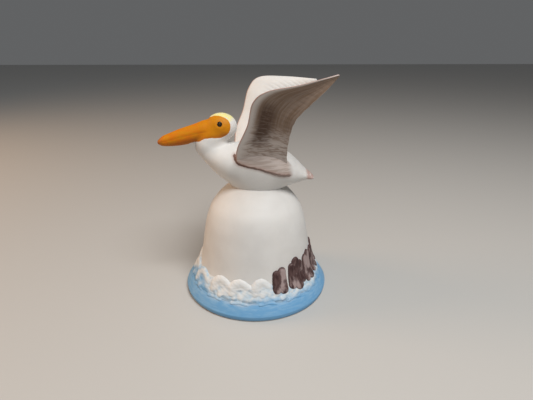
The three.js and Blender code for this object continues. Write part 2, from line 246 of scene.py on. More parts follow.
def wave_strokes():
    """Every stroke of the waves and foam, each as its path, its widths and its heights at the two ends."""
    strokes = []
    for centre, top, half in FRONT_CRESTS:
        strokes += crest_strokes(centre, top, half)
    for centre in np.arange(119, 262, 17.5):
        strokes += crest_strokes(centre, 12.2 + RNG.uniform(-0.5, 0.9), 8 + RNG.uniform(-1, 1.5))
    for centre in np.arange(-178, 180, 13.5):
        low = SHORE[0] < centre < SHORE[1]
        z = (7.3 if low else 7.6) + RNG.uniform(-0.35, 0.35)
        strokes.append(foam_scallop(centre + RNG.uniform(-2, 2), z, 4.2))
    for centre in np.arange(SHORE[0] + 2, SHORE[1], 7.5):
        strokes.append(foam_scallop(centre, 8.5 + RNG.uniform(-0.3, 0.3), 2.6))
    for centre in np.arange(-175, 180, 23):
        strokes.append(([(centre - 6, 5.6), (centre, 6.1), (centre + 6, 5.5)], (0.8, 0.6), (0.35, 0.2)))
    return strokes


def relief(angle, height, strokes):
    """All strokes together, blended a little where they meet; a higher power blends them less."""
    power = 3.5
    total = np.zeros(np.shape(angle))
    tallest = np.full(np.shape(angle), NO_RELIEF)
    for path, width, rise in strokes:
        stroke = stroke_height(angle, height, path, width, rise)
        tallest = np.maximum(tallest, stroke)
        total += np.maximum(stroke, 0) ** power
    return np.where(tallest > 0, total ** (1 / power), tallest)


def sea_level(angle):
    """Where the blue sea gives way to foam, round the bell."""
    swell = 0.5 * np.sin(np.radians(angle * 5 + 40)) + 0.35 * np.sin(np.radians(angle * 11))
    left_surge = 4.4 * np.exp(-((wrap_angle(angle + 68) / 17) ** 2))
    right_surge = 0.9 * np.exp(-((wrap_angle(angle - 58) / 28) ** 2))
    return 6.2 + swell + left_surge + right_surge


# Brush strokes of darker blue under the foam on the front, painted shade, as points of (angle, height).
SHADE_STROKES = [
    [(-41, 9.2), (-40, 7.6), (-37, 6.5)],
    [(-29, 6.8), (-24, 6.3), (-17, 6.6)],
    [(-11, 6.5), (-6, 6.2), (-1, 6.5)],
    [(-24, 9.9), (-19, 9.3), (-14, 9.6)],
    [(-72, 9.4), (-68, 8.2), (-62, 7.6)],
    [(16, 6.1), (21, 5.8), (26, 6.1)],
    [(-6, 9.9), (-2, 9.4), (3, 9.7)],
]


def shade_stroke_mask(angle, height):
    """Where the darker brush strokes of painted shade lie on the sea, under the foam."""
    strokes = list(SHADE_STROKES)
    strokes += [[(a, 6.7), (a + 5, 6.3), (a + 11, 6.7)] for a in range(115, 280, 19)]
    return relief(angle, height, [(path, (0.55, 0.45), (1, 1)) for path in strokes])


WAVE_LOW = 4.4
WAVE_HIGH = 14.4
WAVE_COLUMNS = 840
WAVE_ROWS = 76
WAVE_BACK_ROWS = 8


def wave_band():
    """The band of foam, a closed strip whose edges dive under the wall."""
    columns, rows, back_rows = WAVE_COLUMNS, WAVE_ROWS, WAVE_BACK_ROWS
    low, high = WAVE_LOW, WAVE_HIGH
    around = np.linspace(-180, 180, columns, endpoint=False)
    z, angle = np.meshgrid(np.linspace(low, high, rows), around, indexing="ij")
    raised = relief(angle, z, wave_strokes())
    shore = (angle > SHORE[0]) & (angle < SHORE[1])
    lumps = 0.12 * np.sin(np.radians(angle * 16) + 1.1 * z) * np.sin(np.radians(angle * 9) - 0.8 * z)
    body = (0.55 + lumps) * smoothstep(5.2, 7.4, z) * smoothstep(11.8, 9.2, z)
    body = np.where(shore, 0.3 * smoothstep(5.4, 6.8, z) * smoothstep(9, 8, z), body)
    fine = np.sin(np.radians(angle * 47) + 2.2 * np.sin(z * 2.1)) * np.sin(z * 3.3 + np.radians(angle * 19))
    proud = np.maximum(raised, body - 0.06) + 0.035 * fine * smoothstep(0, 0.4, raised)
    edge = np.minimum(smoothstep(low, low + 1.1, z), smoothstep(high, high - 0.6, z))
    proud = BURIED + (np.maximum(proud, BURIED) - BURIED) * edge
    proud = np.where(proud < 0.02, BURIED, proud)
    back_z, back_angle = np.meshgrid(np.linspace(high, low, back_rows), around, indexing="ij")
    z = np.concatenate([z, back_z])
    angle = np.concatenate([angle, back_angle])
    proud = np.concatenate([proud, np.full(back_z.shape, BURIED - SKIN_BACK)])
    layers = wall_layers(angle.ravel(), z.ravel())
    layers["raised"] = proud.ravel()
    faces = grid_faces(rows + back_rows, columns, wrap_rows=True, wrap_columns=True)
    return add_mesh("wave_band", on_wall(angle, z, proud).reshape(-1, 3), faces, layers)


def wall_layers(angle, z):
    """Paint guides that the bell and its relief share, so that the colours run on from one to the other."""
    return {
        "sea": sea_level(angle) - z,
        "shadow": shade_stroke_mask(angle, z),
    }


def bell_cup():
    """The bell itself: wall, vent, inside and foot ring as one turned body."""
    foot = spline([(26.1, 0), (26.9, 0.18), (27.35, 0.9), (27.5, 2.1)], 9)[:-1]
    outer = spline(OUTER_KNOTS, 120)
    inner = spline(INNER_KNOTS, 60)[::-1]
    rim = spline([(22.9, 1), (23.2, 0.35), (23.9, 0), (25, 0)], 9)
    profile = np.concatenate([foot, outer, inner, rim])
    columns = 360
    angle = np.linspace(-180, 180, columns, endpoint=False)
    turn = np.radians(angle)[None]
    r = profile[:, :1] + 0.035 * np.sin(2 * turn + profile[:, 1:] * 0.12) + 0.02 * np.sin(5 * turn + 1)
    r = np.where(profile[:, :1] > TRUE_EDGE_R, profile[:, :1], r)
    z = np.maximum(np.repeat(profile[:, 1:], columns, 1), 0)
    points = np.stack([r * np.sin(turn), -r * np.cos(turn), z], -1).reshape(-1, 3)
    faces = grid_faces(len(profile), columns, wrap_rows=True, wrap_columns=True)
    spread = np.repeat(angle[None], len(profile), 0)
    layers = wall_layers(spread.ravel(), z.ravel())
    outside = np.arange(len(profile)) < len(foot) + len(outer)
    layers["outside"] = np.repeat(outside.astype(float), columns)
    return add_mesh("bell_cup", points, faces, layers)


# Each pile: its angle, half its width in degrees, the heights of its foot and its top, and its lean.
PILE_CLUSTERS = [
    [(19, 4.3, 8.3, 15.6, 0.4), (25, 4.5, 8, 16.4, 0)],
    [(35.6, 4, 8.4, 16.8, 0.8), (42, 5.4, 7.5, 18.3, 0), (48.2, 4, 8.8, 16.6, -0.5)],
    [(56.4, 4.2, 8, 17.3, 0.8), (63, 5, 7.8, 18.1, 0)],
    [(73.6, 3.8, 8.2, 18, 0.6), (81.8, 4, 8, 17.2, -0.6)],
    [(94.6, 4, 8.2, 17.6, 0.6), (102.4, 3.6, 8, 16.4, 0)],
]
PILE_RISE = 0.95
PILE_GRAIN = 0.055
PILE_MARGIN = 2  # degrees of buried skirt on each side of a cluster
PILE_STEP_DEG = 0.22
PILE_STEP_Z = 0.09


def pile_relief(angle, z, piles):
    """How far the grained posts of one cluster stand out of the wall."""
    tallest = np.full(np.shape(angle), NO_RELIEF)
    for at, half, foot, top, lean in piles:
        r = half * MEAN_R * math.pi / 180
        path = [(at - lean, foot + 0.7 * r), (at, (foot + top) / 2), (at + lean, top - 0.7 * r)]
        column = stroke_height(angle, z, path, (r, 0.94 * r), (PILE_RISE, PILE_RISE), flat=0.28)
        sway = 1.3 * np.sin(z * 0.9 + at)
        grain = np.sin(np.radians((angle - at) * 140) + sway) * (0.6 + 0.4 * np.sin(z * 2.3 + at))
        tallest = np.maximum(tallest, column + PILE_GRAIN * grain * smoothstep(0, 0.5, column))
    return tallest


def pile_cluster(index, piles):
    """One group of posts, a closed sheet whose edges lie under the wall."""
    first = piles[0][0] - piles[0][1] - PILE_MARGIN
    last = piles[-1][0] + piles[-1][1] + PILE_MARGIN
    columns = int((last - first) / PILE_STEP_DEG)
    low, high = 6.6, max(pile[3] for pile in piles) + 0.9
    rows = int((high - low) / PILE_STEP_Z)
    z, angle = np.meshgrid(np.linspace(low, high, rows), np.linspace(first, last, columns), indexing="ij")
    proud = np.maximum(pile_relief(angle, z, piles), BURIED)
    front = on_wall(angle, z, proud).reshape(-1, 3)
    back = on_wall(angle, z, BURIED - SKIN_BACK).reshape(-1, 3)
    size = rows * columns
    edge = np.concatenate(
        [
            np.arange(columns),
            np.arange(1, rows) * columns + columns - 1,
            (rows - 1) * columns + np.arange(columns - 2, -1, -1),
            np.arange(rows - 2, 0, -1) * columns,
        ]
    )
    after = np.roll(edge, -1)
    side = np.stack([edge, edge + size, after + size, after], -1)
    faces = np.concatenate([grid_faces(rows, columns), grid_faces(rows, columns)[:, ::-1] + size, side])
    layers = {"raised": np.concatenate([proud.ravel()] * 2)}
    return add_mesh(f"pilings_{index}", np.concatenate([front, back]), faces, layers)


# ---- the pelican, modelled as one skin round a smoothly joined set of forms ----

NET_STEP = 0.26
FAR_AWAY = 99.0


def smooth_union(a, b, k):
    """The nearer of two distances, with the corner where they meet rounded over k."""
    h = np.clip(0.5 + 0.5 * (b - a) / k, 0, 1)
    return b + (a - b) * h - k * h * (1 - h)


def ellipsoid(p, centre, radii):
    """Close to the distance to an ellipsoid's skin."""
    q = [(c - o) / r for c, o, r in zip(p, centre, radii)]
    k0 = np.sqrt(sum(v * v for v in q))
    k1 = np.sqrt(sum((v / r) ** 2 for v, r in zip(q, radii)))
    return k0 * (k0 - 1) / np.maximum(k1, 1e-6)


def lofted(p, table):
    """Distance to upright oval sections along X; rows are x, middle height, half height, half width."""
    x, y, z = p
    table = spline(table, 120)
    place = np.clip(x, table[:, 0].min(), table[:, 0].max())
    order = np.argsort(table[:, 0])
    middle, tall, wide = (np.interp(place, table[order, 0], table[order, i]) for i in (1, 2, 3))
    q = np.hypot((z - middle) / tall, y / wide)
    across = (q - 1) * np.minimum(tall, wide)
    beyond = np.abs(x - place)
    return np.where(beyond > 0, np.hypot(np.maximum(across, 0), beyond), across)


def limb(p, chain):
    """Distance to a chain of balls joined by cones in the XZ plane; rows are x, z, radius."""
    x, y, z = p
    best = np.full(np.shape(x), FAR_AWAY)
    for (ax, az, ar), (bx, bz, br) in zip(chain[:-1], chain[1:]):
        run = np.array([bx - ax, bz - az])
        t = np.clip(((x - ax) * run[0] + (z - az) * run[1]) / (run @ run), 0, 1)
        distance = np.sqrt((x - ax - t * run[0]) ** 2 + (z - az - t * run[1]) ** 2 + y**2)
        best = np.minimum(best, distance - ar - t * (br - ar))
    return best


# Upright oval sections along X: x, middle height, half height, half width.
TRUNK = [
    (-19, 53.6, 0.8, 1.4),
    (-17.6, 52.7, 2.2, 3.4),
    (-15, 51.5, 4.4, 5.8),
    (-12, 50.5, 6.2, 7.8),
    (-8, 49.6, 7.1, 9.2),
    (0, 49, 7.7, 10.1),
    (7, 48.3, 7.2, 9.7),
    (11.6, 47.2, 6, 8.3),
    (15.2, 46.1, 4.1, 6.2),
    (18, 45.1, 2, 4.2),
    (18.9, 44.8, 0.8, 2.6),
]
TAIL = [
    (14, 46.6, 1.8, 3.6),
    (18, 45.1, 1.9, 3.9),
    (19.6, 44.5, 1.4, 3.6),
    (20.8, 44, 0.85, 3),
    (21.4, 43.8, 0.4, 2.3),
]
# Balls along the neck: x, height, radius.
NECK = [
    (-9.5, 49.6, 5),
    (-14.2, 53.4, 4.7),
    (-16.2, 56.3, 5.1),
    (-14.4, 59.6, 4.8),
]
# Sections of the bill, as those of the trunk.
BILL = [
    (-13, 61.7, 3.7, 3.9),
    (-17.4, 61.2, 3.5, 3.5),
    (-21, 60.1, 3.25, 3.1),
    (-26.2, 58.8, 2.85, 2.75),
    (-30, 57.9, 2.25, 2.4),
    (-32.6, 57.4, 1.65, 2),
    (-34, 57.15, 0.85, 1.2),
    (-34.35, 57.1, 0.35, 0.6),
]
HEAD_CENTRE = (-11.7, 0, 62.5)
HEAD_RADII = (5.5, 4.7, 4.75)
SEAT_CENTRE = (0.9, 0, 45.5)
SEAT_RADII = (11.2, 9.3, 9)
EYE = (-11.9, 3.75, 64.1)
EYE_R = 0.85
SHOULDER_RISE = 0.55
SEAT_SINK = 0.45  # how deep the seat goes into the bell's crown
SEAT_EDGE_ROUNDING = 0.6


def gape_height(x):
    """The line where the two halves of the bill meet."""
    return 57 + 0.235 * (x + 34) - 0.004 * (x + 34) * (x + 12)


def pelican_field(p):
    """Rough distance to the pelican's skin, negative inside; small terms press the details into it."""
    x, y, z = p
    whole = smooth_union(lofted(p, TRUNK), ellipsoid(p, SEAT_CENTRE, SEAT_RADII), 2.2)
    whole = smooth_union(whole, lofted(p, TAIL), 0.8)
    whole = smooth_union(whole, limb(p, NECK), 2.4)
    whole = smooth_union(whole, ellipsoid(p, HEAD_CENTRE, HEAD_RADII), 1)
    bill = lofted(p, BILL)
    whole = smooth_union(whole, bill, 0.7)
    on_bill = smoothstep(-15.5, -17.5, x) * smoothstep(-33.8, -32, x)
    gape = np.exp(-(((z - gape_height(x)) / 0.22) ** 2)) * smoothstep(0.5, 1.2, np.abs(y))
    whole = whole + 0.12 * gape * on_bill
    ridge = np.exp(-((y / 0.8) ** 2)) * smoothstep(58.2, 60, z - 0.25 * (x + 30)) * on_bill
    whole = whole - 0.16 * ridge
    whole = whole + 0.13 * smoothstep(0.35, -0.1, face_edge(p)) * smoothstep(-18, -16, x)
    from_eye = np.sqrt((x - EYE[0]) ** 2 + (np.abs(y) - EYE[1]) ** 2 + (z - EYE[2]) ** 2)
    whole = whole + 0.12 * np.exp(-(((from_eye - EYE_R - 0.25) / 0.22) ** 2))
    whole = smooth_union(whole, from_eye - EYE_R, 0.12)
    tail_groove = np.abs(np.sin(y * 1.75 + 0.05 * x)) ** 0.6
    whole = whole + 0.12 * (1 - tail_groove) * smoothstep(15.5, 18.5, x)
    around = np.arctan2(y, z - 49) * 9
    scallop = np.sin(x * 2.1 + 0.9 * np.sin(around)) * np.sin(around + x * 0.4)
    whole = whole + 0.035 * scallop * smoothstep(7, 11, x) * smoothstep(45, 47, z)
    whole = whole - SHOULDER_RISE * shoulder(p)
    dome = np.interp(np.hypot(x, y), OUTER_WALL[::-1, 0], OUTER_WALL[::-1, 1])
    return -smooth_union(-whole, z - dome + SEAT_SINK, SEAT_EDGE_ROUNDING)


def face_edge(p):
    """Signed distance to the edge of the bare orange face and bill, negative inside.

    An oval cheek and the wedge of the bill make it up, and the white cap cuts into it from above.
    """
    x, y, z = p
    cheek = (np.hypot((x + 12.4) / 4.15, (z - 63.1) / 3.75) - 1) * 3.9
    top = 65.1 + 0.315 * (x + 16.8)
    low = np.interp(x, [-34, -22.4, -19.2, -17.3, -14, -12], [50, 57.2, 58, 59.1, 59.6, 60.2])
    wedge = np.maximum(np.maximum(low - z, z - top - 1.2), x + 13)
    cap = np.interp(x, [-16.4, -15, -12, -8], [-1, 0.9, 2.3, 3.2]) - np.abs(y)
    return np.maximum(smooth_union(cheek, wedge, 0.8), cap)


# The painted line under each wing's root, as points of (x, height).
ROOT_LINE = [(-7, 53.9), (-6.1, 51.9), (-3, 50.8), (1, 50), (5, 48.7), (8.4, 47.5), (11.8, 47)]


def root_height(x):
    line = spline(ROOT_LINE, 60)
    return np.interp(x, line[:, 0], line[:, 1])


def shoulder(p):
    """How far a point lies within the pad of feathers where a wing joins the body, from 0 to 1."""
    x, y, z = p
    pad = smoothstep(-0.3, 0.3, z - root_height(x)) * smoothstep(-7.1, -6.3, x) * smoothstep(13.5, 11, x)
    wing_root = np.interp(x, [-6.6, 11.4], [7.4, 6])
    return pad * smoothstep(-0.2, 1, np.abs(y) - wing_root)


def surface_net(field, low, step):
    """The skin where field changes sign, as points and outward quads."""
    size = np.array(field.shape) - 1
    total = np.zeros(tuple(size) + (3,))
    count = np.zeros(tuple(size))
    loops = []
    for axis in range(3):
        near = np.moveaxis(field, axis, 0)[:-1]
        far = np.moveaxis(field, axis, 0)[1:]
        crossing = np.argwhere((near < 0) != (far < 0))
        a, b = near[tuple(crossing.T)], far[tuple(crossing.T)]
        others = [(axis + 1) % 3, (axis + 2) % 3]
        rest = [i for i in range(3) if i != axis]
        cell = np.zeros((len(crossing), 3), int)
        cell[:, axis] = crossing[:, 0]
        cell[:, rest[0]] = crossing[:, 1]
        cell[:, rest[1]] = crossing[:, 2]
        point = cell.astype(float)
        point[:, axis] += a / (a - b)
        around = []
        for shift in ((0, 0), (-1, 0), (-1, -1), (0, -1)):
            home = cell.copy()
            home[:, others[0]] += shift[0]
            home[:, others[1]] += shift[1]
            np.add.at(total, tuple(home.T), point)
            np.add.at(count, tuple(home.T), 1)
            around.append(np.ravel_multi_index(tuple(home.T), tuple(size)))
        quad = np.stack(around, -1)
        quad[a > 0] = quad[a > 0][:, ::-1]
        loops.append(quad)
    used = count.ravel() > 0
    number = np.cumsum(used) - 1
    points = total.reshape(-1, 3)[used] / count.ravel()[used, None]
    return low + points * step, number[np.concatenate(loops)]


def relaxed(points, faces, rounds):
    """Evens out the net's small steps without shrinking it."""
    edges = np.concatenate([faces[:, [0, 1]], faces[:, [1, 2]], faces[:, [2, 3]], faces[:, [3, 0]]])
    here, there = edges.T
    links = np.bincount(here, minlength=len(points))[:, None]
    for factor in [0.5, -0.52] * rounds:
        total = np.stack([np.bincount(here, points[there, i], len(points)) for i in range(3)], -1)
        points = points + factor * (total / links - points)
    return points


def pelican():
    step = NET_STEP * 1
    low, high = np.array([-35.4, -11.4, 39]), np.array([22.6, 11.4, 68.4])
    axes = [np.arange(a, b, step) for a, b in zip(low, high)]
    field = pelican_field(np.meshgrid(*axes, indexing="ij"))
    points, faces = surface_net(field, low, step)
    points = relaxed(points, faces, 2)
    x, y, z = points.T
    p = (x, y, z)
    layers = {
        "face": face_edge(p),
        "crest": np.hypot((x + 12.4) / 5.4, (z - 67) / 2.5) - 1,
        "gape": z - gape_height(x),
        "eye": np.hypot(x - EYE[0], z - EYE[2]) - EYE_R,
        "root": root_line_distance(p),
        "shoulder": shoulder(p),
    }
    return add_mesh("pelican", points, faces, layers)


def root_line_distance(p):
    """Distance to the painted line under each wing's root, which stays clear of the body's middle."""
    x, y, z = p
    line = spline(ROOT_LINE, 60)
    best = np.full(np.shape(x), FAR_AWAY)
    for a, b in line:
        best = np.minimum(best, np.hypot(x - a, z - b))
    return best + 9 * (np.abs(y) < 5)


# ---- the wings ----

# Each wing's front and rear edge from root to tip, as points of (x, distance from the middle, height).
LEFT_WING = {
    "side": -1,
    "lead": [
        (-6.6, 7.4, 51.6),
        (-5.9, 12, 57.6),
        (-2.4, 16.8, 66),
        (-0.6, 21.6, 73.6),
        (3.6, 23.2, 77),
        (13.1, 20.5, 78.5),
        (26.3, 12.6, 80.9),
    ],
    "trail": [
        (11.4, 6, 46.6),
        (10.9, 9, 54.6),
        (11.5, 12.4, 62),
        (13.1, 15, 67.4),
        (17.4, 15.2, 71.9),
        (22, 14.2, 76),
        (26, 12.4, 80),
    ],
}
RIGHT_WING = {
    "side": 1,
    "lead": [
        (-7.8, 7, 52),
        (-7.3, 12, 58.9),
        (-4.6, 17, 65.4),
        (-2.4, 21, 73),
        (1.9, 22.8, 77.2),
        (12, 20.6, 77.6),
        (23.4, 13.6, 77.2),
    ],
    "trail": [
        (11, 6, 46.8),
        (10.4, 9, 54.4),
        (10.6, 12.4, 61.6),
        (12, 15, 66.6),
        (15.6, 15.2, 70.4),
        (19.6, 14.4, 73.6),
        (23, 13.4, 76.2),
    ],
}
WING_ROWS = 170
WING_COLUMNS = 120
WING_THICKNESS = 2.1
WING_TIP_THICKNESS = 0.9
WING_CAMBER = 0.1
WING_ROOT_FLARE = 1.3
NOTCH_DEPTH = 0.009  # as a share of the chord
QUILL_DEPTH = 0.07
COVERT_DEPTH = 0.025


def capped_tube(rows, columns):
    """Faces of a tube stored ring by ring, closed by one more point at each end."""
    size = rows * columns
    faces = [tuple(face) for face in grid_faces(rows, columns, wrap_columns=True)]
    for end, start in ((size, 0), (size + 1, size - columns)):
        for j in range(columns):
            faces.append((end, start + j, start + (j + 1) % columns))
    return faces


def wing(name, plan):
    """A cupped blade with rolled front edge, feather grooves and a faintly notched rear edge.

    t runs from root to tip and u from the front edge to the rear one, over and under the blade.
    """
    side = plan["side"]
    lead = spline([(x, side * y, z) for x, y, z in plan["lead"]], WING_ROWS)
    trail = spline([(x, side * y, z) for x, y, z in plan["trail"]], WING_ROWS)
    t = np.linspace(0, 1, WING_ROWS)[:, None]
    notch = NOTCH_DEPTH * np.abs(np.sin(t * 34)) * smoothstep(0.06, 0.2, t) * smoothstep(1, 0.9, t)
    chord = (trail - lead) * (1 - notch)
    span = np.gradient(lead + trail, axis=0)
    upper = np.cross(chord, span)
    upper *= side / np.linalg.norm(upper, axis=1, keepdims=True)
    turn = np.linspace(0, 2 * math.pi, WING_COLUMNS, endpoint=False)[None]
    u = (1 - np.cos(turn)) / 2
    length = np.linalg.norm(chord, axis=1, keepdims=True)
    bow = 4 * WING_CAMBER * length * u * (1 - u)
    thick = (WING_THICKNESS + (WING_TIP_THICKNESS - WING_THICKNESS) * t**2) / 2
    upper_face = np.sin(turn)
    lift = bow + thick * (1 - 0.5 * u) * upper_face
    lift = lift + WING_ROOT_FLARE * smoothstep(0.17, 0, t) ** 2 * np.minimum(upper_face, 0)
    closing = np.sqrt(np.clip(1 - smoothstep(0.985, 1, t) ** 2, 0.02, 1))
    quills = np.sin(t * 68 + u * 1.2)
    deep = smoothstep(0.25, 0.55, u) * smoothstep(1.02, 0.85, u)
    lift = lift - np.sign(upper_face) * QUILL_DEPTH * np.abs(quills) ** 6 * deep
    covert = np.sin(t * 30 + 1.4 * np.sin(u * 17)) * np.sin(u * 19 + 0.8 * np.sin(t * 22))
    shallow = smoothstep(0.06, 0.15, u) * smoothstep(0.6, 0.4, u)
    lift = lift + np.sign(upper_face) * COVERT_DEPTH * covert * shallow
    centre = lead + chord * 0.5
    points = lead[:, None] + chord[:, None] * u[..., None] + upper[:, None] * lift[..., None]
    points = centre[:, None] + (points - centre[:, None]) * closing[..., None]
    ends = np.stack([points[0].mean(0), points[-1].mean(0)])
    full = np.ones_like(points[..., 0])
    layers = {
        "along": np.append((t * full).ravel(), (0, 1)),
        "across": np.append((u * full).ravel(), (0.5, 0.5)),
        "under": np.append((smoothstep(0.25, -0.25, upper_face) * full).ravel(), (0.5, 0.5)),
    }
    skin = np.concatenate([points.reshape(-1, 3), ends])
    return add_mesh(name, skin, capped_tube(WING_ROWS, WING_COLUMNS), layers)


# ---- the hanger and the clapper ----

JOINTS = {joint["name"]: joint for joint in frame["joints"]}
STAPLE_PIVOT_Z = JOINTS["ring_swing"]["pos_m"][2] / MM
ROD_PIVOT_Z = JOINTS["clapper_swing"]["pos_m"][2] / MM
BEAD_Z = JOINTS["bead_spin"]["pos_m"][2] / MM
HANGER_TURN = math.pi / 4
STAPLE_WIRE_R = 0.45
STAPLE_BEND_R = 1.3
STAPLE_TOP_Z = 43.4
RING_WIRE_R = 0.4
RING_R = 1.7
LINK_PLAY = 0.12
ROD_WIRE_R = 0.45
EYE_LOOP_R = 1.15
BEAD_R = 4.5
BEAD_BORE_R = 0.65
PLUG_R = 2
PLUG_TOP_Z = 45
PLUG_COLLAR_Z = 39.4
PLUG_CORE_R = 0.02  # a turned body closes on itself, so the plug keeps a hair-thin core
WIRE_SIDES = 20


def turned_about_axis(points, angle):
    x, y, z = np.asarray(points, float).T
    across, ahead = math.cos(angle), math.sin(angle)
    return np.stack([x * across - y * ahead, x * ahead + y * across, z], -1)


def wire(name, path, radius, angle, closed=False):
    """Round wire along a path drawn in the XZ plane, then turned about the bell's axis."""
    path = np.asarray([(x, 0, z) for x, z in path], float)
    ahead = (np.roll(path, -1, 0) - np.roll(path, 1, 0)) if closed else np.gradient(path, axis=0)
    ahead /= np.linalg.norm(ahead, axis=1, keepdims=True)
    side = np.array([0, 1.0, 0])
    across = np.cross(ahead, side)
    turn = np.linspace(0, 2 * math.pi, WIRE_SIDES, endpoint=False)
    circle = across[:, None] * np.cos(turn)[None, :, None] + side * np.sin(turn)[None, :, None]
    rings = path[:, None] + radius * circle
    count = len(path)
    faces = [tuple(f) for f in grid_faces(count, WIRE_SIDES, wrap_rows=closed, wrap_columns=True)]
    points = rings.reshape(-1, 3)
    if not closed:
        for ring, way in ((0, -1), (count - 1, 1)):
            inner = path[ring] + 0.6 * radius * circle[ring] + way * 0.35 * radius * ahead[ring]
            tip = path[ring] + way * 0.5 * radius * ahead[ring]
            start = len(points)
            points = np.concatenate([points, inner, tip[None]])
            for j in range(WIRE_SIDES):
                k = (j + 1) % WIRE_SIDES
                faces.append((ring * WIRE_SIDES + j, ring * WIRE_SIDES + k, start + k, start + j))
                faces.append((start + j, start + k, start + WIRE_SIDES))
    return add_mesh(name, turned_about_axis(points, angle), faces)


def arc(centre_z, radius, first, last, count):
    turn = np.radians(np.linspace(first, last, count))
    return [(radius * math.cos(a), centre_z + radius * math.sin(a)) for a in turn]


def staple():
    bend = STAPLE_PIVOT_Z + STAPLE_BEND_R
    left = [(-STAPLE_BEND_R, z) for z in np.linspace(STAPLE_TOP_Z, bend, 12)[:-1]]
    right = [(STAPLE_BEND_R, z) for z in np.linspace(bend, STAPLE_TOP_Z, 12)[1:]]
    path = left + arc(bend, STAPLE_BEND_R, 180, 360, 40) + right
    return wire("hanger_staple_wire", path, STAPLE_WIRE_R, HANGER_TURN)


def split_ring():
    centre = STAPLE_PIVOT_Z + STAPLE_WIRE_R + LINK_PLAY + RING_WIRE_R - RING_R
    path = arc(centre, RING_R, 0, 360, 73)[:-1]
    return wire("split_ring", path, RING_WIRE_R, HANGER_TURN + math.pi / 2, closed=True)


def clapper_wire():
    centre = ROD_PIVOT_Z + RING_WIRE_R + LINK_PLAY + ROD_WIRE_R - EYE_LOOP_R
    seat = BEAD_Z - BEAD_R
    knots = arc(centre, EYE_LOOP_R, -65, 205, 10)
    knots += [(-0.62 * EYE_LOOP_R, centre - 1.15 * EYE_LOOP_R), (-0.1, centre - 2.1 * EYE_LOOP_R)]
    shank_top = centre - 3 * EYE_LOOP_R
    knots += [(0, shank_top), (0, shank_top - 1), (0, shank_top - 2)]
    knots += [(0, z) for z in np.arange(shank_top - 4, seat + 2, -2)]
    knots += [(0, seat + 0.9), (0.1, seat - 0.4), (0.8, seat - 0.95), (1.9, seat - 0.95)]
    return wire("clapper_wire", spline(knots, 420), ROD_WIRE_R, HANGER_TURN)


def turned_body(name, profile, columns, lumps=0.0):
    """A closed profile of (radius, height) turned about the bell's axis."""
    profile = np.asarray(profile, float)
    turn = np.linspace(0, 2 * math.pi, columns, endpoint=False)[None]
    r, z = profile[:, :1], profile[:, 1:]
    wobble = 1 + lumps * (np.sin(3 * turn + z * 2) + 0.6 * np.sin(7 * turn - z * 3))
    points = np.stack([r * wobble * np.sin(turn), -r * wobble * np.cos(turn), z + 0 * turn], -1)
    faces = grid_faces(len(profile), columns, wrap_rows=True, wrap_columns=True)
    return add_mesh(name, points.reshape(-1, 3), faces)


def bead():
    bore = math.degrees(math.asin(BEAD_BORE_R / BEAD_R)) + 3
    ball = arc(BEAD_Z, BEAD_R, -90 + bore, 90 - bore, 61)
    lip = [(BEAD_BORE_R + 0.04, ball[-1][1] - 0.06), (BEAD_BORE_R, ball[-1][1] - 0.25)]
    foot = [(BEAD_BORE_R, ball[0][1] + 0.25), (BEAD_BORE_R + 0.04, ball[0][1] + 0.06)]
    return turned_body("clapper_ball", ball + lip + foot, 96)


def plug():
    """Plaster run into the vent, with a soft collar where it swelled under the crown."""
    collar = spline([(2.6, 0.02), (3.3, 0.12), (3.7, 0.5), (3.5, 0.95), (2.5, 1.15), (PLUG_R, 1.5)], 40)
    profile = [(PLUG_CORE_R, PLUG_COLLAR_Z), *[(r, PLUG_COLLAR_Z + z) for r, z in collar]]
    profile += [(PLUG_R, PLUG_TOP_Z - 0.3), (PLUG_R - 0.3, PLUG_TOP_Z), (PLUG_CORE_R, PLUG_TOP_Z)]
    return turned_body("plaster_plug", profile, 64, lumps=0.012)


# ---- materials ----


GRAIN_MM = 0.25


